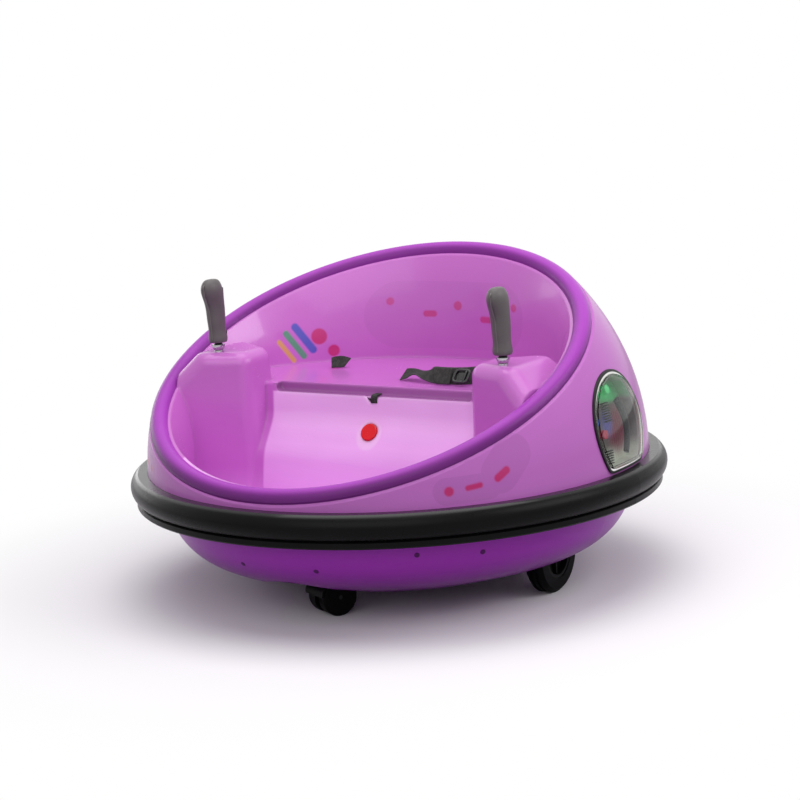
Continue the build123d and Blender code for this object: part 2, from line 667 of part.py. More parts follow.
def belt_buckle():
    """Slider lying before the left strap."""
    slider = fillet(Box(*BUCKLE).edges(), BUCKLE_ROUND)
    return Pos(BUCKLE_X, BELTS[0][1][1] - BUCKLE[1], SEAT_Z + BELT_LIFT + BUCKLE[2] / 2) * slider


def crotch_strap():
    middle_y = PANEL_Y + LEDGE_DEPTH + CROTCH_L / 2
    return Pos(0, middle_y, SEAT_Z + BELT_LIFT + BELT_T / 2) * Box(CROTCH_W, CROTCH_L, BELT_T)


pieces = {
    "upper_shell": upper_shell(),
    "lower_shell": lower_shell(),
    "bumper_ring": bumper_ring(),
    "cockpit_tub": cockpit_tub(),
    "rim_trim": rim_trim(),
    "battery": battery(),
    "battery_door": battery_door(),
    "power_button": power_button(),
    "belt_buckle": belt_buckle(),
    "crotch_strap": crotch_strap(),
}
for name, start, end in BELTS:
    pieces[name] = strap(start, end)
for word, side in (("left", 1), ("right", -1)):
    pieces["lamp_gasket_" + word] = lamp_gasket(side)
    pieces["lamp_reflector_" + word] = lamp_reflector(side)
    pieces["lamp_lens_" + word] = lamp_lens(side)
    pieces["lamp_lights_" + word] = lamp_lights(side)
    pieces["drive_tyre_" + word] = drive_tyre(side)
    pieces["drive_hub_" + word] = drive_hub(side)
    pieces["drive_axle_" + word] = drive_axle(side)
    pieces["gearbox_" + word] = gearbox(side)
    pieces["joystick_base_" + word] = joystick_base(side)
    pieces["joystick_stem_" + word] = joystick_stem(side)
    pieces["joystick_grip_" + word] = joystick_grip(side)
for word, end in (("front", -1), ("rear", 1)):
    pieces["caster_mount_" + word] = caster_mount(end)
    pieces["caster_fork_" + word] = caster_fork(end)
    pieces["caster_wheels_" + word] = caster_wheels(end)
    pieces["caster_axle_" + word] = caster_axle(end)

os.makedirs("parts", exist_ok=True)
for name, piece in pieces.items():
    export_step(piece, "parts/" + name + ".step")
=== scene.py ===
import bpy
import numpy as np
from bpy.props import FloatProperty, FloatVectorProperty, PointerProperty
from mathutils import Matrix, Vector


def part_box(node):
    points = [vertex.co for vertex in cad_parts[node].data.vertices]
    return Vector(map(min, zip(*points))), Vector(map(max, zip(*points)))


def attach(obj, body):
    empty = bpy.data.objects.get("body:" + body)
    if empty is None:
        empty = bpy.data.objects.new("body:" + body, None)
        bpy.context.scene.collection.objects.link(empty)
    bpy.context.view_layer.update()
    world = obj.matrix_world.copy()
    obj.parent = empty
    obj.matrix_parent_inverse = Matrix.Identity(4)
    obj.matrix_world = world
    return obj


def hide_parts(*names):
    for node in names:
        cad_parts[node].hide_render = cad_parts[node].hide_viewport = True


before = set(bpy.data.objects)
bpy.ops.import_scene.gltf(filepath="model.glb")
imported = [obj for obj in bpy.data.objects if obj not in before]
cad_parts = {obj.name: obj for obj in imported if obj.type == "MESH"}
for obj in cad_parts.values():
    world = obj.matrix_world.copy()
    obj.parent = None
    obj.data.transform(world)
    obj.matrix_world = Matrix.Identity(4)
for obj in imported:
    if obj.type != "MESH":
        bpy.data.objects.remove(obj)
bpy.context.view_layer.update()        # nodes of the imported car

bl_info = {
    "name": "Bumper car finish",
    "version": (1, 0, 0),
    "blender": (4, 5, 0),
    "location": "3D View > Sidebar > Bumper Car",
    "description": "Dresses the packed ride-on bumper car in moulded plastic, rubber, webbing and lamps",
    "category": "Object",
}

SIDES = (("left", 1), ("right", -1))
ENDS = (("front", -1), ("rear", 1))


# ---------------------------------------------------------------- places taken from the frame
def middle(node):
    """Middle of a node's box, as an array."""
    low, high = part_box(node)
    return np.array((low + high) / 2)


SEAT_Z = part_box("crotch_strap")[0].z        # crotch strap's underside, a hair over the seat's top face
SEAT_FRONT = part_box("crotch_strap")[0].y    # crotch strap's front end, at the seat's edge over its ledge
BUTTON = middle("power_button")
RING_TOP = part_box("bumper_ring")[1].z
RING_OVER = 0.0035          # the ring's flat top is this far over the middle of the dome's sphere
LENS_PROUD = 0.005          # a lens's outer face is this far out of the dome
DOME_CENTRE = np.array((0.0, 0.0, RING_TOP - RING_OVER))
DOME_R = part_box("lamp_lens_left")[1].x - LENS_PROUD


# ---------------------------------------------------------------- shader wrapper
class Value:
    """A number, colour or vector in a node tree. Its operators add Math nodes."""

    def __init__(self, shade, socket):
        self.shade = shade
        self.socket = socket

    def __add__(self, other):
        return self.shade.math("ADD", self, other)

    def __sub__(self, other):
        return self.shade.math("SUBTRACT", self, other)

    def __rsub__(self, other):
        return self.shade.math("SUBTRACT", other, self)

    def __mul__(self, other):
        return self.shade.math("MULTIPLY", self, other)

    __radd__ = __add__
    __rmul__ = __mul__


class Shade:
    """The node tree of one material or world, with one method that adds any node."""

    def __init__(self, name, kind="materials"):
        self.owner = getattr(bpy.data, kind).new(name)
        self.owner.use_nodes = True
        self.tree = self.owner.node_tree
        self.tree.nodes.clear()

    def add(self, kind, settings=None, inputs=None, output=0):
        """Adds a node, sets its settings and then its sockets, and gives one output."""
        node = self.tree.nodes.new(kind)
        for key, value in (settings or {}).items():
            setattr(node, key, value)
        for key, value in (inputs or {}).items():
            if isinstance(value, Value):
                self.tree.links.new(value.socket, node.inputs[key])
            else:
                node.inputs[key].default_value = value
        return Value(self, node.outputs[output])

    def math(self, operation, *values):
        return self.add("ShaderNodeMath", {"operation": operation}, dict(enumerate(values)))

    def place(self):
        """The point's place in the object, in metres."""
        return self.add("ShaderNodeTexCoord", output="Object")

    def axes(self, vector):
        """The three numbers of a vector."""
        split = self.add("ShaderNodeSeparateXYZ", inputs={0: vector})
        return [Value(self, socket) for socket in split.socket.node.outputs]

    def length(self, *parts):
        """Length of a vector given by two or three numbers."""
        total = sum((part * part for part in parts[1:]), parts[0] * parts[0])
        return self.math("SQRT", total)

    def step(self, value, low, high):
        """0 up to low, 1 from high, smooth between. A low above high runs the other way."""
        flip = low > high
        first, last = (high, low) if flip else (low, high)
        ramp = self.add("ShaderNodeMapRange", {"interpolation_type": "SMOOTHSTEP"},
                        {"Value": value, "From Min": first, "From Max": last})
        return 1.0 - ramp if flip else ramp

    def mix(self, share, first, second):
        """A colour between two, by a share that may vary."""
        ends = [end if isinstance(end, Value) else (*end, 1.0) for end in (first, second)]
        return self.add("ShaderNodeMix", {"data_type": "RGBA"}, {0: share, 6: ends[0], 7: ends[1]}, 2)

    def noise(self, vector, scale, detail=3.0):
        return self.add("ShaderNodeTexNoise", None, {"Vector": vector, "Scale": scale, "Detail": detail})

    def stretched(self, vector, scale):
        """The vector with each axis scaled on its own."""
        return self.add("ShaderNodeVectorMath", {"operation": "MULTIPLY"}, {0: vector, 1: scale})

    def bump(self, height, depth, normal=None):
        inputs = {"Height": height, "Distance": depth}
        if normal:
            inputs["Normal"] = normal
        return self.add("ShaderNodeBump", None, inputs)

    def clamped(self, value, low, high):
        return self.math("MINIMUM", self.math("MAXIMUM", value, low), high)

    def blob(self, u, v, start, end, half, edge):
        """1 inside a bar with round ends from start to end in the plane of u and v, 0 outside it,
        with a blurred edge.

        The nearest point of the bar's middle line is its start plus the clamped share of its run.
        """
        run = (end[0] - start[0], end[1] - start[1])
        square = run[0] ** 2 + run[1] ** 2
        du, dv = u - start[0], v - start[1]
        if square > 0:
            share = self.clamped((du * run[0] + dv * run[1]) * (1 / square), 0.0, 1.0)
            du, dv = du - share * run[0], dv - share * run[1]
        return self.step(self.length(du, dv), half + edge, half - edge)

    def finish(self, colour, roughness, normal=None, **fixed):
        """Closes the tree with one Principled BSDF. Keys of fixed are socket names with _ for a space."""
        inputs = {"Base Color": colour, "Roughness": roughness}
        if normal:
            inputs["Normal"] = normal
        for key, value in fixed.items():
            inputs[key.replace("_", " ")] = value
        if not isinstance(colour, Value):
            inputs["Base Color"] = (*colour, 1.0)
        self.add_output("ShaderNodeOutputMaterial", self.add("ShaderNodeBsdfPrincipled", None, inputs))
        return self.owner

    def add_output(self, kind, shader):
        output = self.tree.nodes.new(kind)
        self.tree.links.new(shader.socket, output.inputs["Surface"])

    def ray(self, kind):
        """1 for rays of one kind, 0 for all others."""
        return self.add("ShaderNodeLightPath", output=f"Is {kind} Ray")

    def looked_at(self):
        """1 for rays from the camera and for the mirrored and clear ones that follow them, 0 for others."""
        sent_on = self.math("MAXIMUM", self.ray("Glossy"), self.ray("Transmission"))
        return self.math("MAXIMUM", self.ray("Camera"), sent_on)


def darker(colour, share):
    """The colour times share, which makes it paler where share is over 1."""
    return tuple(channel * share for channel in colour)


# ---------------------------------------------------------------- materials
# heights of the fine relief on each finish, in metres
ORANGE_PEEL, SPARK_GRAIN, BRUSH_LINES = 0.00012, 0.00015, 0.00004
RIB_HEIGHT, LENS_WAVES, MIRROR_RIPPLES = 0.0003, 0.0001, 0.00012


def scuffed(shade, place, base, depth=0.05):
    """Roughness of handled plastic: soft clouds with thin hairline scuffs in them."""
    clouds = shade.noise(place, 9.0)
    hairs = shade.noise(shade.stretched(place, (90.0, 22.0, 160.0)), 6.0, 2.0)
    return base + depth * (clouds - 0.5) + 0.6 * depth * shade.step(hairs, 0.58, 0.7)


def moulded(name, colour, rough, tone=None, soften=0.0, coat=None, **fixed):
    """Glossy injection-moulded plastic: faint flow clouds in the colour and a fine orange peel.

    tone gives the colour and coat the coat's weight at each place. soften rounds the look of its
    creases by that radius, as thick plastic flows round them.
    """
    shade = Shade(name)
    place = shade.place()
    base = tone(shade, place, colour) if tone else colour
    if coat:
        fixed["Coat_Weight"] = coat(shade, place)
    flow = shade.noise(shade.stretched(place, (5.0, 5.0, 9.0)), 1.0, 2.0)
    tint = shade.mix(shade.step(flow, 0.35, 0.7) * 0.2, base, darker(colour, 0.86))
    peel = shade.noise(place, 420.0, 1.0)
    round_edge = shade.add("ShaderNodeBevel", {"samples": 8}, {"Radius": soften}) if soften else None
    surface = shade.bump(peel, ORANGE_PEEL, round_edge)
    return shade.finish(tint, scuffed(shade, place, rough), surface, **fixed)


def satin(name, colour, rough, coat=None, **fixed):
    """Satin rubber or textured plastic: fine spark-eroded grain, with paler rubbed clouds."""
    shade = Shade(name)
    place = shade.place()
    if coat:
        fixed["Coat_Weight"] = coat(shade, place)
    rubbed = shade.step(shade.noise(place, 14.0), 0.45, 0.75)
    worn = tuple(min(1.0, 1.6 * channel + 0.002) for channel in colour)
    tint = shade.mix(rubbed * 0.3, colour, worn)
    grain = shade.noise(place, 900.0, 2.0)
    return shade.finish(tint, scuffed(shade, place, rough, 0.08), shade.bump(grain, SPARK_GRAIN), **fixed)


def metal(name, colour, rough):
    """Plated or brushed metal: fine lines across it and duller patches."""
    shade = Shade(name)
    place = shade.place()
    lines = shade.noise(shade.stretched(place, (40.0, 40.0, 900.0)), 3.0, 1.0)
    patches = shade.noise(place, 30.0)
    tint = shade.mix(shade.step(patches, 0.5, 0.8) * 0.4, colour, darker(colour, 0.6))
    return shade.finish(tint, rough + 0.15 * (lines - 0.5), shade.bump(lines, BRUSH_LINES), Metallic=1.0)


def woven_belt(name, colour):
    """Polyester webbing: ribs across it in a herringbone, paler where its selvedge is rubbed."""
    shade = Shade(name)
    place = shade.add("ShaderNodeAttribute", {"attribute_name": "woven"}, output="Vector")
    far, across, _ = shade.axes(place)
    chevron = far * 2600.0 + shade.math("ABSOLUTE", shade.math("FRACT", across * 160.0) - 0.5) * 9.0
    ribs = shade.math("SINE", chevron)
    edge = shade.step(shade.math("ABSOLUTE", across), 0.0098, 0.0116)
    rubbed = shade.step(shade.noise(place, 160.0), 0.35, 0.7)
    worn = tuple(4.0 * channel + 0.012 for channel in colour)
    tint = shade.mix(0.35 * rubbed + 0.3 * edge + 0.12 * ribs, colour, worn)
    return shade.finish(tint, 0.72 + 0.08 * rubbed, shade.bump(ribs, RIB_HEIGHT), Specular_IOR_Level=0.25)


def lens_plastic(name):
    """Clear plastic of a lamp's lens, with slow waves in its skin."""
    shade = Shade(name)
    place = shade.place()
    waves = shade.bump(shade.noise(place, 60.0, 1.0), LENS_WAVES)
    return shade.finish((0.90, 0.93, 0.91), scuffed(shade, place, 0.04, 0.02), waves,
                        Transmission_Weight=1.0, IOR=1.25)


# the coloured light painted on a lamp's floor, as pools from its lights: colour, strength, middle (y, z),
# how much of the distance along y counts, and the radii where the spot starts and where it is full
PAINTED_LAMP_LIGHTS = (((0.20, 0.002, 0.040), 0.95, (0.036, 0.216), 1.0, 0.042, 0.012),
                 ((0.07, 0.07, 0.32), 0.85, (0.008, 0.230), 1.0, 0.024, 0.006),
                 ((0.02, 0.46, 0.13), 0.95, (0.052, 0.265), 0.22, 0.017, 0.007))
PALE_FOOT, PALE_CROWN = (0.205, 0.186), (0.272, 0.282)      # heights over which the floor turns pale
RIM_TO_FLOOR = (0.001, 0.006)       # depths under the dome's skin over which the rim becomes the floor


def reflector(name):
    """A lamp's reflector: a bright rim, and a rippled floor with pools of the coloured lights painted on
    it.
    """
    shade = Shade(name)
    x, y, z = shade.axes(shade.place())
    rim, floor = (DOME_R - depth for depth in RIM_TO_FLOOR)
    deep = shade.step(shade.length(x, y, z - float(DOME_CENTRE[2])), rim, floor)
    pale = shade.math("MAXIMUM", shade.step(z, *PALE_FOOT), shade.step(z, *PALE_CROWN))
    tint = shade.mix(pale, (0.10, 0.08, 0.08), (0.50, 0.52, 0.44))
    # painted light: a pool of each coloured light on the reflector's floor
    for colour, strength, (across, level), squeeze, start, full in PAINTED_LAMP_LIGHTS:
        spot = shade.step(shade.length((y - across) * squeeze, z - level), start, full)
        tint = shade.mix(spot * strength, tint, colour)
    tint = shade.mix(deep, (0.78, 0.78, 0.76), tint)
    ripples = shade.math("SINE", y * 900.0)
    return shade.finish(tint, 0.18 + 0.22 * deep, shade.bump(ripples * deep, MIRROR_RIPPLES),
                        Metallic=1.0 - 0.8 * deep, Specular_IOR_Level=0.2)


BLUE_FROM, GREEN_FROM = (0.229, 0.233), (0.255, 0.262)      # heights over which each colour comes in


def lamp_light(name):
    """A lamp's glowing lights: red at the bottom, blue above it and green at the top."""
    shade = Shade(name)
    height = shade.axes(shade.place())[2]
    green = shade.step(height, *GREEN_FROM)
    blue = shade.step(height, *BLUE_FROM) * (1.0 - green)
    tint = shade.mix(green, shade.mix(blue, (0.28, 0.004, 0.04), (0.03, 0.06, 0.36)), (0.03, 0.5, 0.14))
    return shade.finish(tint, 0.25, Emission_Color=tint, Emission_Strength=0.2)


# ---------------------------------------------------------------- surfaces from arrays
def grid_faces(rows, columns, wrap=False, loop=False):
    """Quads between neighbouring rows of points; wrap joins each row's end to its start, loop the rows."""
    row, column = np.meshgrid(np.arange(rows - (not loop)), np.arange(columns - (not wrap)), indexing="ij")
    after, below = (column + 1) % columns, (row + 1) % rows
    corners = [row * columns + column, row * columns + after,
               below * columns + after, below * columns + column]
    return np.stack(corners, -1).reshape(-1, 4)


def unit(vectors):
    """Each vector over its own length."""
    return vectors / np.linalg.norm(vectors, axis=-1, keepdims=True)


def curve_through(points, steps):
    """Smooth curve through points: a cubic in each gap, whose slope at a point is half the way
    from the point before to the point after (Catmull-Rom)."""
    points = np.asarray(points, float)
    ends = np.vstack([2 * points[0] - points[1], points, 2 * points[-1] - points[-2]])
    place = np.linspace(0, len(points) - 1 - 1e-9, steps)
    index = place.astype(int)
    t = (place - index)[:, None]
    a, b, c, d = (ends[index + k] for k in range(4))
    return b + 0.5 * t * (c - a + t * (2 * a - 5 * b + 4 * c - d + t * (3 * (b - c) + d - a)))


def along_path(path, sideways, section):
    """Rings of a section carried along a path. Row i, column j is path i plus the section's first
    number along sideways and its second along the cross product of the path's run and sideways,
    where sideways is one direction, or one for each point of the path."""
    run = unit(np.gradient(path, axis=0))
    side = unit(sideways - (sideways * run).sum(-1, keepdims=True) * run)
    face = np.cross(run, side)
    return path[:, None] + section[None, :, :1] * side[:, None] + section[None, :, 1:] * face[:, None]


def rounded(width, height, power, count):
    """Section like a rounded box, of count points: half the width times the cosine of the angle and
    half the height times its sine, each raised to a power under 1 with its sign kept."""
    turn = np.linspace(0, 2 * np.pi, count, endpoint=False)
    wave = np.stack([np.cos(turn), np.sin(turn)], -1)
    return np.sign(wave) * np.abs(wave) ** power * (width / 2, height / 2)


def flat_band(width, thickness):
    """Section of webbing: a line of 10 points across with a half circle of 5 round each end."""
    turn = np.linspace(-np.pi / 2, np.pi / 2, 5)
    radius = thickness / 2
    reach = width / 2 - radius
    end = np.stack([reach + radius * np.cos(turn), radius * np.sin(turn)], -1)
    line = np.linspace(reach, -reach, 10)[1:-1]
    top = np.stack([line, np.full(len(line), radius)], -1)
    return np.vstack([end, top, -end, -top])


WEBBING_STEPS = 110
FRAME_CORNERS, BAR_CORNERS = (0.45, 72), (0.6, 12)      # power and points of a frame's line, of its bar


def webbing(points, leans, width, thickness, slants):
    """Belt webbing along a curve. The line across it leans out of level by an angle that goes
    smoothly through leans; slants shear its first and last part, so that it ends at a slope.

    Gives points, faces and, for each point, how far it is along and across the webbing.
    """
    path = curve_through(points, WEBBING_STEPS)
    lean = np.radians(curve_through(np.array(leans)[:, None], WEBBING_STEPS))
    run = unit(np.gradient(path, axis=0))
    level = unit(np.cross((0, 0, 1), run))
    section = flat_band(width, thickness)
    rings = along_path(path, np.cos(lean) * level + np.sin(lean) * np.cross(run, level), section)
    share = np.linspace(0, 1, WEBBING_STEPS)[:, None, None]
    shear = slants[0] * np.clip(1 - 4 * share, 0, 1) + slants[1] * np.clip(4 * share - 3, 0, 1)
    rings = rings + shear * section[None, :, :1] * run[:, None]
    far = np.concatenate([[0], np.cumsum(np.linalg.norm(np.diff(path, axis=0), axis=1))])
    woven = np.stack(np.broadcast_arrays(far[:, None], section[None, :, 0], section[None, :, 1]), -1)
    points, faces = ringed(rings)
    ends = np.array([(0, 0, 0), (far[-1], 0, 0)])
    return points, faces, np.vstack([woven.reshape(-1, 3), ends])


def ring_bar(centre, right, up, width, height, bar):
    """A closed frame: a bar's rounded section carried round a rounded box in the plane of right and up."""
    middle_line = rounded(width - bar[0], height - bar[0], *FRAME_CORNERS)
    path = centre + middle_line[:, :1] * right + middle_line[:, 1:] * up
    outward = unit(middle_line[:, :1] * right + middle_line[:, 1:] * up)
    normal = unit(np.cross(right, up))
    section = rounded(*bar, *BAR_CORNERS)
    rings = path[:, None] + section[None, ::-1, :1] * outward[:, None] + section[None, ::-1, 1:] * normal
    return rings.reshape(-1, 3), grid_faces(len(path), len(section), wrap=True, loop=True).tolist()


def disc(centre, axis, profile):
    """A turned form: profile's radii and heights carried round an axis through centre, in 20 steps."""
    axis = unit(np.asarray(axis, float))
    first = unit(np.cross(axis, (0.31, 0.95, 0.05)))
    second = np.cross(axis, first)
    turn = np.linspace(0, 2 * np.pi, 20, endpoint=False)[None, :, None]
    radius, height = (np.array(profile)[:, None, None, k] for k in range(2))
    rings = centre + radius * (np.cos(turn) * first + np.sin(turn) * second) + height * axis
    return ringed(rings)


def ringed(rings):
    """Points and faces of rings joined in order, each end closed by a fan to its middle."""
    count, around = rings.shape[:2]
    points = np.vstack([rings.reshape(-1, 3), rings[0].mean(0), rings[-1].mean(0)])
    sides = grid_faces(count, around, wrap=True).tolist()
    here = np.arange(around)
    after = (here + 1) % around
    first = np.stack([after, here, np.full(around, count * around)], -1)
    last = (count - 1) * around
    final = np.stack([last + here, last + after, np.full(around, count * around + 1)], -1)
    return points, sides + first.tolist() + final.tolist()


def joined(shapes):
    """Several (points, faces) as one."""
    points, faces, start = [], [], 0
    for shape_points, shape_faces in shapes:
        points.append(shape_points)
        faces += [[start + index for index in face] for face in shape_faces]
        start += len(shape_points)
    return np.vstack(points), faces


def piece(name, shape, material, body, replaces=()):
    """Makes a mesh object at the origin, riding on a body. A third item of shape is its weave's place."""
    points, faces, *woven = shape
    mesh = bpy.data.meshes.new(name)
    mesh.from_pydata(np.asarray(points).tolist(), [], faces)
    mesh.polygons.foreach_set("use_smooth", [True] * len(mesh.polygons))
    mesh.materials.append(material)
    if woven:
        layer = mesh.attributes.new("woven", "FLOAT_VECTOR", "POINT")
        layer.data.foreach_set("vector", woven[0].ravel())
    mesh.update()
    thing = bpy.data.objects.new(name, mesh)
    bpy.context.scene.collection.objects.link(thing)
    if body:
        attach(thing, body)
    if replaces:
        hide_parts(*replaces)
    return thing


def dress(material, *nodes):
    """Gives CAD nodes their material."""
    for name in nodes:
        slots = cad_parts[name].data.materials
        slots.clear()
        slots.append(material)


# ---------------------------------------------------------------- sizes and colours
class CarSizes(bpy.types.PropertyGroup):
    belt_width: FloatProperty(name="Belt width", description="Width of the seat belt's webbing",
                              default=0.025, min=0.01, max=0.05, unit="LENGTH")
    belt_thickness: FloatProperty(name="Belt thickness", description="Thickness of the webbing",
                                  default=0.0016, min=0.0005, max=0.004, unit="LENGTH")
    crease: FloatProperty(name="Soft crease", description="Radius by which the tub's creases look rounded",
                          default=0.0060, min=0.0, max=0.03, unit="LENGTH")
    floor_side: FloatProperty(name="Floor side", description="Side of the studio floor",
                              default=14.0, min=4.0, max=40.0, unit="LENGTH")


def colour_property(name, description, default):
    return FloatVectorProperty(name=name, description=description, default=default,
                               size=3, min=0.0, max=1.0, subtype="COLOR")


class CarColours(bpy.types.PropertyGroup):
    dome: colour_property("Dome", "Colour of the upper shell", (0.56, 0.165, 0.58))
    tub: colour_property("Tub", "Colour of the cockpit tub", (0.60, 0.165, 0.60))
    panel: colour_property("Seat panel", "Lighter colour of the seat's front and footwell",
                           (0.88, 0.44, 0.90))
    trim: colour_property("Rim trim", "Colour of the rim bead", (0.31, 0.045, 0.38))
    hull: colour_property("Hull", "Colour of the lower shell", (0.50, 0.045, 0.66))
    ring: colour_property("Bumper ring", "Colour of the rubber ring", (0.003, 0.003, 0.0033))
    grip: colour_property("Grips", "Colour of the joystick grips", (0.115, 0.103, 0.105))
    belt: colour_property("Belt", "Colour of the webbing", (0.022, 0.021, 0.02))
    button: colour_property("Button", "Colour of the power button", (0.72, 0.003, 0.012))


# ---------------------------------------------------------------- stickers: plain bars and dots
BLUE, GREEN, YELLOW, PINK = (0.02, 0.10, 0.50), (0.03, 0.36, 0.14), (0.72, 0.42, 0.06), (0.56, 0.012, 0.12)

# colour, start and end in the sticker's own plane, half width; all in metres
WALL_BARS = ((BLUE, (-0.094, 0.322), (-0.070, 0.288), 0.0055),
             (GREEN, (-0.108, 0.314), (-0.084, 0.280), 0.0045),
             (YELLOW, (-0.119, 0.303), (-0.099, 0.275), 0.0035),
             (PINK, (-0.060, 0.306), (-0.060, 0.306), 0.0115),
             (PINK, (-0.040, 0.284), (-0.040, 0.284), 0.0085))
BACK_DOTS = ((PINK, (-0.098, 0.356), (-0.098, 0.356), 0.0055),
             (PINK, (-0.046, 0.338), (-0.034, 0.338), 0.0045),
             (PINK, (0.004, 0.350), (0.004, 0.350), 0.0065),
             (PINK, (0.046, 0.332), (0.058, 0.332), 0.0045),
             (PINK, (0.104, 0.352), (0.104, 0.352), 0.0055))
DOME_DOTS = ((PINK, (-0.052, 0.190), (-0.052, 0.190), 0.0060),
             (PINK, (-0.028, 0.192), (-0.012, 0.194), 0.0035),
             (PINK, (0.012, 0.200), (0.024, 0.208), 0.0050))

# the clear film under the dots: start, end, half width
BACK_FILM = ((-0.085, 0.336), (0.075, 0.336), 0.048)
DOME_FILMS = (((-0.055, 0.190), (0.0, 0.192), 0.017), ((0.016, 0.206), (0.034, 0.226), 0.026))
MARK_BLUR, FILM_BLUR = 0.0018, 0.0006
DOME_WAY = (0.777, 0.629)           # way out from the car's middle to a dome sticker: sideways, forwards
WALL_WAY = 0.7071                   # way out to the wall's bars: this much to the right, and as much back
WALL_LIFT = 0.005                   # the bars stand this much higher than WALL_BARS says

# distances along the way out over which each sticker's place begins, the seat back's straight back
DOME_PLACE, WALL_PLACE, BACK_PLACE = (0.21, 0.24), (0.15, 0.17), (0.08, 0.10)


def stuck_on(shade, base, u, v, marks, where, strength=0.85):
    """Lays each mark of a sticker over the colour below it, only where the mask where is 1."""
    for colour, start, end, half in marks:
        mark = shade.blob(u, v, start, end, half, MARK_BLUR)
        base = shade.mix(mark * where * strength, base, colour)
    return base


# ---------------------------------------------------------------- how the shells change in colour, painted light and shade, and gloss
# each pair is where a change starts and where it is full, in metres
BETWEEN_PODS = (0.162, 0.157)           # half the width of the paler panel
PANEL_FRONT = (-0.003, -0.009)          # where it begins from SEAT_FRONT,
PANEL_TOP = (-0.0105, -0.0135)          # and from SEAT_Z
POD_FOOT = (0.17, 0.10)                 # heights below which the pods' fronts are paler too
PANEL_PAINTED_LIGHT = (0.200, 0.240)            # heights over which painted light makes the panel paler still
LEDGE_BACK, LEDGE_FRONT = (0.001, -0.0005), (-0.0125, -0.0115)      # painted shade on the seat's ledge, from SEAT_FRONT,
LEDGE_FOOT, LEDGE_HEAD = (-0.0135, -0.0128), (-0.001, -0.0025)      # and from SEAT_Z
BUTTON_HALO = (0.021, 0.016)            # radii of the pale patch round the power button
WALL_BARS_FOOT = (0.001, 0.002)         # where the wall's bars may begin, from SEAT_Z
PANEL_PAINTED_LIGHT_COLOUR, PALE_HALO = (1.0, 0.60, 1.0), (0.95, 0.70, 0.95)

# the polished wall: radii, heights from SEAT_Z, and y
WALL_RADII, WALL_FOOT, WALL_REAR = (0.225, 0.245), (0.02, 0.05), (-0.03, 0.0)

BEAD_PAINTED_LIGHT_WAY = (0.0, 0.35, 0.937)            # painted light makes the rim bead palest where it faces this way,
BEAD_COSINES = (0.0, 0.85)              # by these cosines of the angle to it,
BEAD_PAINTED_LIGHT_REAR = (0.0, 0.2)                  # and painted light makes it paler over these y
KEEL_SHADE = (0.10, 0.045)                    # heights below which painted shade deepens the hull
RING_FLAT = (-0.004, -0.001)            # where the ring's flat top begins, from RING_TOP


def past(shade, value, start, pair):
    """A step from start plus the pair's first to start plus its second."""
    return shade.step(value, start + pair[0], start + pair[1])


def dome_tone(shade, place, dome):
    """The dome's colour, with a sticker on its clear film on each side of the front."""
    x, y, z = shade.axes(place)
    side = shade.math("ABSOLUTE", x)
    u = side * DOME_WAY[1] + y * DOME_WAY[0]
    outer = shade.step(side * DOME_WAY[0] - y * DOME_WAY[1], *DOME_PLACE)
    film = shade.math("MAXIMUM", *(shade.blob(u, z, *bar, FILM_BLUR) for bar in DOME_FILMS))
    filmed = shade.mix(film * outer * 0.35, dome, darker(dome, 0.72))
    return stuck_on(shade, filmed, u, z, DOME_DOTS, outer)


def tub_tone(shade, place, tub):
    """The tub's colour: a paler front panel and footwell with painted light towards the panel's top,
    painted shade on the ledge at the seat's edge, a pale patch round the button, and the stickers."""
    panel = tuple(bpy.context.scene.bumper_car_colours.panel)
    x, y, z = shade.axes(place)
    between = shade.step(shade.math("ABSOLUTE", x), *BETWEEN_PODS)

    front = past(shade, y, SEAT_FRONT, PANEL_FRONT)
    foot = shade.step(z, *POD_FOOT)
    light = front * past(shade, z, SEAT_Z, PANEL_TOP) * shade.math("MAXIMUM", between, 0.75 * foot)
    # painted light: the panel turns paler towards its top
    glow = shade.mix(shade.step(z, *PANEL_PAINTED_LIGHT) * 0.75, panel, PANEL_PAINTED_LIGHT_COLOUR)
    base = shade.mix(light, tub, glow)

    # painted shade darkens the ledge under the seat's front edge
    ledge_shade = past(shade, y, SEAT_FRONT, LEDGE_BACK) * past(shade, y, SEAT_FRONT, LEDGE_FRONT)
    ledge_shade = ledge_shade * past(shade, z, SEAT_Z, LEDGE_FOOT) * past(shade, z, SEAT_Z, LEDGE_HEAD)
    base = shade.mix(ledge_shade * between * 0.85, base, darker(tub, 0.38))

    halo = shade.step(shade.length(x - BUTTON[0], z - BUTTON[2]), *BUTTON_HALO) * front
    base = shade.mix(halo * 0.45, base, PALE_HALO)

    back = shade.step(y, *BACK_PLACE)
    film = shade.blob(x, z, *BACK_FILM, FILM_BLUR) * back
    base = shade.mix(film * 0.3, base, darker(tub, 0.78))
    base = stuck_on(shade, base, x, z, BACK_DOTS, back, 0.7)

    rear_right = shade.step((y - x) * WALL_WAY, *WALL_PLACE) * past(shade, z, SEAT_Z, WALL_BARS_FOOT)
    return stuck_on(shade, base, (x + y) * WALL_WAY, z - WALL_LIFT, WALL_BARS, rear_right)


def wall_gloss(shade, place):
    """Coat of the tub: most on the rear of the curved wall, least on the seat and pods."""
    x, y, z = shade.axes(place)
    wall = shade.step(shade.length(x, y), *WALL_RADII) * past(shade, z, SEAT_Z, WALL_FOOT)
    return 0.2 + 0.7 * wall * shade.step(y, *WALL_REAR)


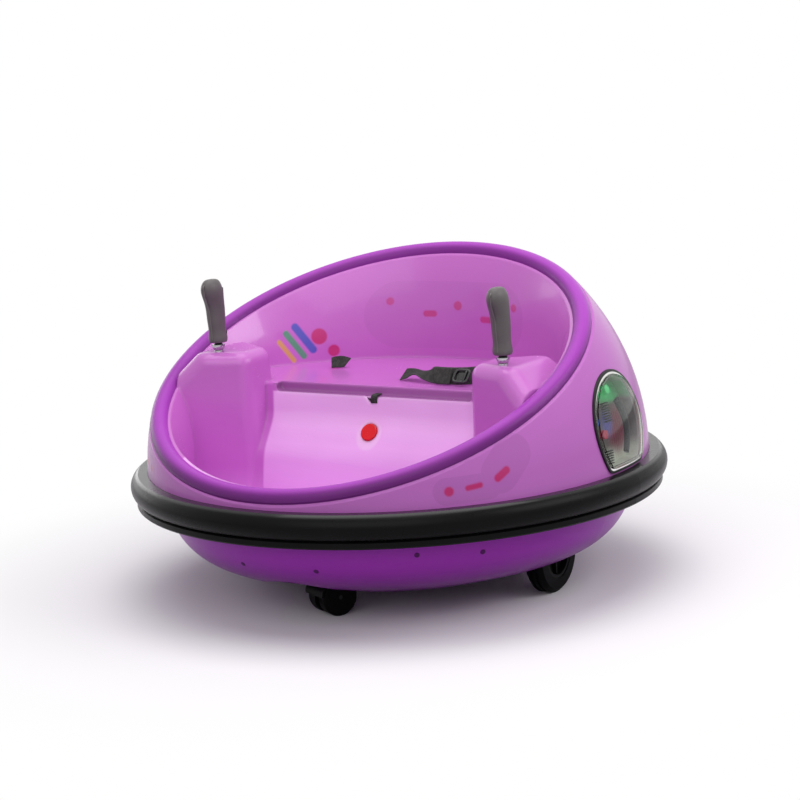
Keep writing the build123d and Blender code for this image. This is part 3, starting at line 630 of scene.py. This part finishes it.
def trim_painted_light_and_shade(shade, place, trim):
    """The bead's colour: painted shade deepens its underside, painted light makes it paler where it faces
    up and towards the rear.
    """
    facing = shade.add("ShaderNodeNewGeometry", output="Normal")
    up = shade.add("ShaderNodeVectorMath", {"operation": "DOT_PRODUCT"}, {0: facing, 1: BEAD_PAINTED_LIGHT_WAY}, "Value")
    rear = shade.step(shade.axes(place)[1], *BEAD_PAINTED_LIGHT_REAR)
    # painted light where the bead faces up and to the rear, painted shade on its underside
    share = shade.step(up, *BEAD_COSINES) + 0.22 * rear
    return shade.mix(share, darker(trim, 0.55), darker(trim, 1.35))


def hull_painted_shade(shade, place, hull):
    """The hull's colour, with painted shade deepening it towards the keel."""
    # painted shade: the hull is deeper towards the keel
    return shade.mix(shade.step(shade.axes(place)[2], *KEEL_SHADE), hull, darker(hull, 0.6))


def flat_gloss(shade, place):
    """Coat of the ring, on its flat top alone."""
    return 0.5 * past(shade, shade.axes(place)[2], RING_TOP, RING_FLAT)


# the screws under the ring: places near the hull's skin, and a head's radii and heights
HULL_SCREWS = ((0.056, 0.298, 0.085), (0.180, 0.256, 0.107), (0.241, 0.198, 0.102))
HULL_SCREW = ((0.0001, -0.0010), (0.0034, -0.0010), (0.0035, 0.0004), (0.0027, 0.0009), (0.0001, 0.0006))


class BUMPERCAR_OT_shells(bpy.types.Operator):
    """Finish the dome, hull, bumper ring, cockpit tub and rim trim"""
    bl_idname = "bumpercar.shells"
    bl_label = "Shells and ring"

    def execute(self, context):
        colours = context.scene.bumper_car_colours
        hull = tuple(colours.hull)
        dress(moulded("dome_plastic", tuple(colours.dome), 0.24, dome_tone, Coat_Weight=0.2,
                      Coat_Roughness=0.08, Specular_IOR_Level=0.12), "upper_shell")
        dress(moulded("hull_plastic", hull, 0.3, hull_painted_shade, Specular_IOR_Level=0.2),
              "lower_shell", "battery_door")
        crease = context.scene.bumper_car_sizes.crease
        dress(moulded("tub_plastic", tuple(colours.tub), 0.24, tub_tone, crease, wall_gloss,
                      Coat_Roughness=0.08, Specular_IOR_Level=0.35), "cockpit_tub")
        dress(moulded("trim_plastic", tuple(colours.trim), 0.3, trim_painted_light_and_shade, Specular_IOR_Level=0.14),
              "rim_trim")
        dress(satin("ring_rubber", tuple(colours.ring), 0.28, flat_gloss, Coat_Roughness=0.12,
                    Specular_IOR_Level=0.08), "bumper_ring")

        screws = []
        for x, y, z in HULL_SCREWS:
            for side in (1, -1):
                for end in (1, -1):
                    near = Vector((side * x, end * y, z))
                    _, spot, outward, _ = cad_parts["lower_shell"].closest_point_on_mesh(near)
                    screws.append(disc(np.array(spot), np.array(outward), HULL_SCREW))
        sunk = satin("screw_sunk", darker(hull, 0.22), 0.5, Specular_IOR_Level=0.2)
        piece("hull_screws", joined(screws), sunk, "body")
        return {"FINISHED"}


# a lamp's strut: how far under the dome's skin, its ends along y, its bow backwards from them, the
# height of its top, and how far down it goes
STRUT_SUNK, STRUT_Y, STRUT_BOW, STRUT_TOP, STRUT_DROP = 0.007, 0.026, 0.013, 0.258, 0.068
STRUT_ROWS = 24
STRUT_SECTION = (0.006, 0.0105, 0.7, 12)    # width, height, power and points, as rounded takes them

# a lamp's ribs: how far under the dome's skin, their pitch, and of each group the lowest rib's
# height, how many ribs, and where along y they start and end
RIBS_SUNK, RIB_PITCH, RIB_ROWS = 0.009, 0.0032, 8
RIB_SECTION = (0.0045, 0.0014, 0.6, 8)
RIB_GROUPS = ((0.236, 8, -0.014, 0.002), (0.183, 6, -0.026, -0.010))


def under_dome(side, y, z, depth):
    """Points of the dome's sphere sunk by depth, at y and z on one side: x is the root of the
    sunk radius squared less y squared and less the height over the sphere's middle squared."""
    y, z = np.broadcast_arrays(np.asarray(y, float), np.asarray(z, float))
    rise = z - DOME_CENTRE[2]
    return np.stack([side * np.sqrt((DOME_R - depth) ** 2 - y ** 2 - rise ** 2), y, z], -1)


class BUMPERCAR_OT_lamps(bpy.types.Operator):
    """Finish the side lamps: lens, reflector, gasket and lights, with the ribs and strut inside"""
    bl_idname = "bumpercar.lamps"
    bl_label = "Side lamps"

    def execute(self, context):
        clear = lens_plastic("lens_clear")
        mirror = reflector("reflector_silver")
        glow = lamp_light("lamp_light")
        gasket = satin("gasket_black", (0.004, 0.004, 0.0045), 0.35, Specular_IOR_Level=0.25)
        dark = satin("strut_black", (0.001, 0.0015, 0.004), 0.4, Specular_IOR_Level=0.1)
        rib_grey = satin("rib_grey", (0.02, 0.022, 0.02), 0.4, Specular_IOR_Level=0.1)
        for word, side in SIDES:
            dress(clear, "lamp_lens_" + word)
            dress(mirror, "lamp_reflector_" + word)
            dress(gasket, "lamp_gasket_" + word)
            dress(glow, "lamp_lights_" + word)
            outward = np.array((side, 0.0, 0.0))

            # the strut bows backwards as a half wave from its top to its foot
            down = np.linspace(0.0, 1.0, STRUT_ROWS)
            bowed = STRUT_Y + STRUT_BOW * np.sin(np.pi * down)
            path = under_dome(side, bowed, STRUT_TOP - STRUT_DROP * down, STRUT_SUNK)
            strut = ringed(along_path(path, outward, rounded(*STRUT_SECTION)))
            piece("lamp_strut_" + word, strut, dark, "body")

            ribs = []
            for bottom, count, front, back in RIB_GROUPS:
                for level in bottom + RIB_PITCH * np.arange(count):
                    rib = under_dome(side, np.linspace(front, back, RIB_ROWS), level, RIBS_SUNK)
                    ribs.append(ringed(along_path(rib, outward, rounded(*RIB_SECTION))))
            piece("lamp_ribs_" + word, joined(ribs), rib_grey, "body")
        return {"FINISHED"}


# a grip's levels that are measured, and how far they stay from its ends, which is also how near its
# level a point of the skin is
GRIP_LEVELS, GRIP_END = 26, 0.004
SEAM_STEPS, STRIP_STEPS = 110, 40
SEAM_SECTION, STRIP_SECTION = (0.0016, 0.0011, 0.8, 8), (0.0105, 0.0032, 0.5, 16)
STRIP_LEVELS = slice(12, 23, 2)             # levels of the rear that the trigger strip lies on
STRIP_PROUD = (0, 0.0006, 0)                # how far behind them its middle line is
SEAM_PROUD = 0.0002                         # how far over the grip's top the seam's middle line is

# a grip's screw: the level whose middle it is measured from, its height over the grip's foot, how
# far out its head is, and the head's radii and heights
SCREW_MIDDLE, GRIP_SCREW_LEVEL, GRIP_SCREW_REACH = 3, 0.013, 0.0123
SCREW_WAY = (-0.84, 0.54)                   # way that its head faces: outwards, backwards
GRIP_SCREW = ((0.0001, -0.002), (0.0026, -0.002), (0.0027, 0.0002), (0.0022, 0.0006), (0.0001, 0.0002))


def grip_outline(node):
    """Middle x of a grip, and at each level from its foot to its top the least and greatest y of
    the skin near that level: x, levels, front, rear."""
    low, high = (np.array(corner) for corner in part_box(node))
    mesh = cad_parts[node].data
    skin = np.empty(len(mesh.vertices) * 3)
    mesh.vertices.foreach_get("co", skin)
    skin = skin.reshape(-1, 3)
    levels = np.linspace(low[2] + GRIP_END, high[2] - GRIP_END, GRIP_LEVELS)
    near = np.abs(skin[:, 2][None] - levels[:, None]) < GRIP_END
    front = np.where(near, skin[:, 1][None], np.inf).min(1)
    rear = np.where(near, skin[:, 1][None], -np.inf).max(1)
    return (low[0] + high[0]) / 2, levels, front, rear


class BUMPERCAR_OT_joysticks(bpy.types.Operator):
    """Finish the joystick grips, stems and bases, with each grip's seam, trigger strip and screws"""
    bl_idname = "bumpercar.joysticks"
    bl_label = "Joysticks"

    def execute(self, context):
        colour = tuple(context.scene.bumper_car_colours.grip)
        grip = satin("grip_grey", colour, 0.42, Specular_IOR_Level=0.35)
        ridge = satin("seam_grey", darker(colour, 1.25), 0.38)
        black = satin("slot_black", (0.004, 0.004, 0.004), 0.4, Specular_IOR_Level=0.2)
        plated = metal("cup_plated", (0.50, 0.50, 0.51), 0.2)
        for word, side in SIDES:
            body = "joystick_" + word
            dress(grip, "joystick_grip_" + word)
            dress(plated, "joystick_base_" + word)
            dress(black, "joystick_stem_" + word)
            low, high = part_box("joystick_grip_" + word)
            x, levels, front, rear = grip_outline("joystick_grip_" + word)
            across = np.array((1.0, 0.0, 0.0))

            # the seam runs up the front, over the top and down the rear
            middle_x = np.full(GRIP_LEVELS, x)
            up = np.stack([middle_x, front, levels], -1)
            over = np.array([(x, (front[-1] + rear[-1]) / 2, high.z + SEAM_PROUD)])
            back = np.stack([middle_x, rear, levels], -1)
            seam = curve_through(np.vstack([up, over, back[::-1]])[::2], SEAM_STEPS)
            rings = along_path(seam, across, rounded(*SEAM_SECTION))
            piece("grip_seam_" + word, ringed(rings), ridge, body)

            strip = curve_through(back[STRIP_LEVELS] + STRIP_PROUD, STRIP_STEPS)
            rings = along_path(strip, across, rounded(*STRIP_SECTION))
            piece("grip_trigger_" + word, ringed(rings), black, body)

            outward = unit(np.array((side * SCREW_WAY[0], SCREW_WAY[1], 0.0)))
            middle_y = (front[SCREW_MIDDLE] + rear[SCREW_MIDDLE]) / 2
            foot = np.array((x, middle_y, low.z + GRIP_SCREW_LEVEL))
            screw = disc(foot + outward * GRIP_SCREW_REACH, outward, GRIP_SCREW)
            piece("grip_screw_" + word, screw, black, body)
        return {"FINISHED"}


# the seat belt's runs: place along the seat (x, y), height above it, and lean of the webbing there
BELT_LEFT = (((0.134, 0.004, 0.0125), 55), ((0.118, -0.006, 0.0117), 58), ((0.098, -0.011, 0.0115), 58),
             ((0.078, -0.011, 0.0115), 56), ((0.062, -0.007, 0.0125), 40), ((0.048, -0.001, 0.0120), 8),
             ((0.036, 0.003, 0.0105), 4), ((0.024, 0.005, 0.0090), 22), ((0.012, 0.006, 0.0070), 30))
BELT_FOLD = (((0.100, -0.016, 0.0122), 58), ((0.086, -0.016, 0.0120), 57), ((0.072, -0.014, 0.0118), 55))
BELT_RIGHT = (((-0.140, 0.060, 0.0075), 45), ((-0.133, 0.063, 0.0085), 52), ((-0.126, 0.066, 0.0085), 55),
              ((-0.119, 0.069, 0.0070), 40))
BELT_CROTCH = (((0.004, SEAT_FRONT - 0.001, -0.0105), 0), ((0.004, SEAT_FRONT - 0.006, -0.0105), 0),
               ((0.004, SEAT_FRONT - 0.0110, -0.0112), 0), ((0.004, SEAT_FRONT - 0.0137, -0.0150), 0),
               ((0.004, SEAT_FRONT - 0.0137, -0.021), 0))
CROTCH_WIDTH = 0.010
FOLD_SHARE, RIGHT_SHARE = 0.92, 0.72        # widths of the fold and of the right half, of the belt's width
FOLD_SLANTS, RIGHT_SLANTS = (-0.55, 0.0), (0.0, 0.35)       # slopes of their first and last ends

# the slider: its middle over the seat, its ways along and up, its outside and its bar's section, where
# its cross bar is along it and how far that reaches up and down, and the tongue's depth behind it and
# its ends
SLIDER_PLACE = (0.1165, -0.0175, 0.0135)
SLIDER_ALONG, SLIDER_UP = (1.0, 0.03, -0.01), (0.26, 0.55, 0.79)
SLIDER_SIZE, SLIDER_BAR = (0.0245, 0.021), (0.0036, 0.0030)
CROSS_BAR_AT, CROSS_BAR_REACH = 0.0052, 0.0085
TONGUE_SUNK, TONGUE_ENDS = 0.0022, (-0.0095, 0.0105)
CROSS_BAR_SECTION, TONGUE_SECTION = (0.0030, 0.0030, 0.6, 12), (0.0150, 0.0012, 0.4, 16)


class BUMPERCAR_OT_belt(bpy.types.Operator):
    """Lay the seat belt: webbing, slider and crotch strap, and finish the power button"""
    bl_idname = "bumpercar.belt"
    bl_label = "Seat belt and button"

    def execute(self, context):
        colours, sizes = context.scene.bumper_car_colours, context.scene.bumper_car_sizes
        fabric = woven_belt("webbing", tuple(colours.belt))
        plastic = satin("buckle_black", (0.010, 0.010, 0.011), 0.22)
        width, thick = sizes.belt_width, sizes.belt_thickness

        def strap(name, steps, across, replaces, slants=(0.0, 0.0)):
            places = np.array([place for place, lean in steps]) + (0, 0, SEAT_Z)
            leans = [lean for place, lean in steps]
            if places[-1][0] < places[0][0]:                 # webbing is laid towards +X
                places, leans = places[::-1], leans[::-1]
            shape = webbing(places, leans, across, thick, slants)
            thing = piece(name, shape, fabric, "body", replaces)

        # the slider frame lies against the webbing's face, with one bar across it
        centre = np.array(SLIDER_PLACE) + (0, 0, SEAT_Z)
        along, up = unit(np.array(SLIDER_ALONG)), unit(np.array(SLIDER_UP))
        up = unit(up - 0.5 * (up @ along) * along)           # it hangs half as askew as these ways say
        out = unit(np.cross(along, up))
        reach = np.linspace(-CROSS_BAR_REACH, CROSS_BAR_REACH, 6)[:, None]
        bar_line = centre + CROSS_BAR_AT * along + reach * up
        cross_bar = along_path(bar_line, along, rounded(*CROSS_BAR_SECTION))
        slider = [ring_bar(centre, along, up, *SLIDER_SIZE, SLIDER_BAR), ringed(cross_bar)]
        piece("belt_slider", joined(slider), plastic, "body", ("belt_buckle",))
        middle_line = centre - TONGUE_SUNK * out + np.linspace(*TONGUE_ENDS, 12)[:, None] * along
        tongue = ringed(along_path(middle_line, up, rounded(*TONGUE_SECTION)))
        piece("belt_tongue", tongue, plastic, "body")

        strap("belt_left", BELT_LEFT, width, ("strap_left",))
        strap("belt_fold", BELT_FOLD, width * FOLD_SHARE, (), FOLD_SLANTS)
        strap("belt_right", BELT_RIGHT, width * RIGHT_SHARE, ("strap_right",), RIGHT_SLANTS)
        strap("belt_crotch", BELT_CROTCH, CROTCH_WIDTH, ("crotch_strap",))

        red = moulded("button_red", tuple(colours.button), 0.25, Specular_IOR_Level=0.3)
        dress(red, "power_button")
        return {"FINISHED"}


class BUMPERCAR_OT_running_gear(bpy.types.Operator):
    """Finish the drive wheels, casters, gearboxes and battery"""
    bl_idname = "bumpercar.running_gear"
    bl_label = "Running gear"

    def execute(self, context):
        rubber = satin("drive_rubber", (0.0025, 0.0025, 0.0028), 0.5, Specular_IOR_Level=0.04)
        hub = satin("hub_grey", (0.005, 0.005, 0.0055), 0.4, Specular_IOR_Level=0.06)
        black = satin("caster_black", (0.0025, 0.0025, 0.0028), 0.38, Specular_IOR_Level=0.04)
        tread = satin("caster_tread", (0.0025, 0.0025, 0.0028), 0.5, Specular_IOR_Level=0.04)
        gearbox = satin("gearbox_black", (0.02, 0.02, 0.022), 0.45)
        case = satin("battery_case", (0.03, 0.03, 0.034), 0.5)
        steel = metal("axle_steel", (0.02, 0.02, 0.021), 0.45)
        dress(case, "battery")
        for word, _ in SIDES:
            dress(rubber, "drive_tyre_" + word)
            dress(hub, "drive_hub_" + word)
            dress(gearbox, "gearbox_" + word)
            dress(steel, "drive_axle_" + word)
        for word, _ in ENDS:
            dress(black, "caster_fork_" + word, "caster_mount_" + word)
            dress(tread, "caster_wheels_" + word)
            dress(steel, "caster_axle_" + word)
        return {"FINISHED"}


# each lamp: name, place, what it points at, width, height, power in watts
LAMPS = (("top_softbox", (0.0, -0.1, 2.4), (0, 0, 0.2), 2.2, 2.2, 33.0),
         ("left_softbox", (-2.02, 0.74, 0.62), (0, 0, 0.3), 1.6, 1.0, 5.0),
         ("right_softbox", (1.75, 0.30, 1.35), (0, 0, 0.3), 1.5, 1.0, 14.0),
         ("front_softbox", (0.9, -3.0, 2.1), (0, 0, 0.2), 3.6, 2.4, 34.0))
WHITE = (1, 1, 1, 1)
WORLD_LIGHT, WORLD_SEEN = 0.36, 1.0         # strength of the white world as a light, and to look at
PAPER_LIT, PAPER_SEEN = (0.30, 0.29, 0.30), (0.93, 0.90, 0.94)      # the floor's colour, likewise
PAPER_ENDS = (0.36, 0.80)                   # radii over which the floor fades into plain white

SENSOR_WIDTH, FOCAL_LENGTH = 36.0, 106.0    # the camera's, in millimetres
CAMERA_PLACE = (1.67596, -2.66812, 0.82429)
CAMERA_RIGHT, CAMERA_UP = (0.8519, 0.5210, -0.0540), (-0.0490, 0.1820, 0.9821)
CAMERA_BACK = (0.5215, -0.8340, 0.1805)


class BUMPERCAR_OT_stage(bpy.types.Operator):
    """Lay the studio floor and set up the lamps, world and camera"""
    bl_idname = "bumpercar.stage"
    bl_label = "Studio"

    def execute(self, context):
        scene = context.scene
        half = scene.bumper_car_sizes.floor_side / 2
        shade = Shade("studio_floor")
        x, y, _ = shade.axes(shade.place())
        tint = shade.mix(shade.looked_at(), PAPER_LIT, PAPER_SEEN)
        paper = shade.add("ShaderNodeBsdfDiffuse", None, {"Color": tint})
        blank = shade.add("ShaderNodeEmission", None, {"Strength": 1.0})
        fade = shade.ray("Camera") * shade.step(shade.length(x, y), *PAPER_ENDS)
        shade.add_output("ShaderNodeOutputMaterial",
                         shade.add("ShaderNodeMixShader", None, {0: fade, 1: paper, 2: blank}))
        corners = np.array([(-half, -half, 0), (half, -half, 0), (half, half, 0), (-half, half, 0)])
        floor = piece("studio_floor", (corners, [[0, 1, 2, 3]]), shade.owner, None)

        sky = Shade("studio", "worlds")
        soft = sky.add("ShaderNodeBackground", None, {"Color": WHITE, "Strength": WORLD_LIGHT})
        bright = sky.add("ShaderNodeBackground", None, {"Color": WHITE, "Strength": WORLD_SEEN})
        sky.add_output("ShaderNodeOutputWorld",
                       sky.add("ShaderNodeMixShader", None, {0: sky.looked_at(), 1: soft, 2: bright}))
        scene.world = sky.owner

        for name, spot, aim, width, height, power in LAMPS:
            light = bpy.data.lights.new(name, "AREA")
            light.shape, light.size, light.size_y, light.energy = "RECTANGLE", width, height, power
            lamp = bpy.data.objects.new(name, light)
            lamp.location = spot
            lamp.rotation_euler = (Vector(aim) - Vector(spot)).to_track_quat("-Z", "Y").to_euler()
            scene.collection.objects.link(lamp)

        view = bpy.data.cameras.new("camera")
        view.sensor_width, view.lens = SENSOR_WIDTH, FOCAL_LENGTH
        camera = bpy.data.objects.new("camera", view)
        turn = Matrix((CAMERA_RIGHT, CAMERA_UP, CAMERA_BACK)).transposed()
        camera.matrix_world = Matrix.Translation(CAMERA_PLACE) @ turn.to_4x4()
        scene.collection.objects.link(camera)
        scene.camera = camera
        scene.view_settings.view_transform = "Standard"
        return {"FINISHED"}


OPERATORS = (BUMPERCAR_OT_shells, BUMPERCAR_OT_lamps, BUMPERCAR_OT_joysticks, BUMPERCAR_OT_belt,
             BUMPERCAR_OT_running_gear, BUMPERCAR_OT_stage)


class BUMPERCAR_PT_finish(bpy.types.Panel):
    """Lists the pieces that the bumper car is dressed with"""
    bl_idname = "BUMPERCAR_PT_finish"
    bl_label = "Bumper car finish"
    bl_space_type = "VIEW_3D"
    bl_region_type = "UI"
    bl_category = "Bumper Car"

    def draw(self, context):
        for operator in OPERATORS:
            self.layout.operator(operator.bl_idname)
        for group in (context.scene.bumper_car_sizes, context.scene.bumper_car_colours):
            for key in group.bl_rna.properties.keys():
                if key not in ("name", "rna_type"):
                    self.layout.prop(group, key)


CLASSES = (CarSizes, CarColours) + OPERATORS + (BUMPERCAR_PT_finish,)


def register():
    for each in CLASSES:
        bpy.utils.register_class(each)
    bpy.types.Scene.bumper_car_sizes = PointerProperty(type=CarSizes)
    bpy.types.Scene.bumper_car_colours = PointerProperty(type=CarColours)


def unregister():
    del bpy.types.Scene.bumper_car_colours
    del bpy.types.Scene.bumper_car_sizes
    for each in reversed(CLASSES):
        bpy.utils.unregister_class(each)


def main():
    register()
    bpy.ops.bumpercar.shells()
    bpy.ops.bumpercar.lamps()
    bpy.ops.bumpercar.joysticks()
    bpy.ops.bumpercar.belt()
    bpy.ops.bumpercar.running_gear()
    bpy.ops.bumpercar.stage()


if __name__ == "__main__":
    main()
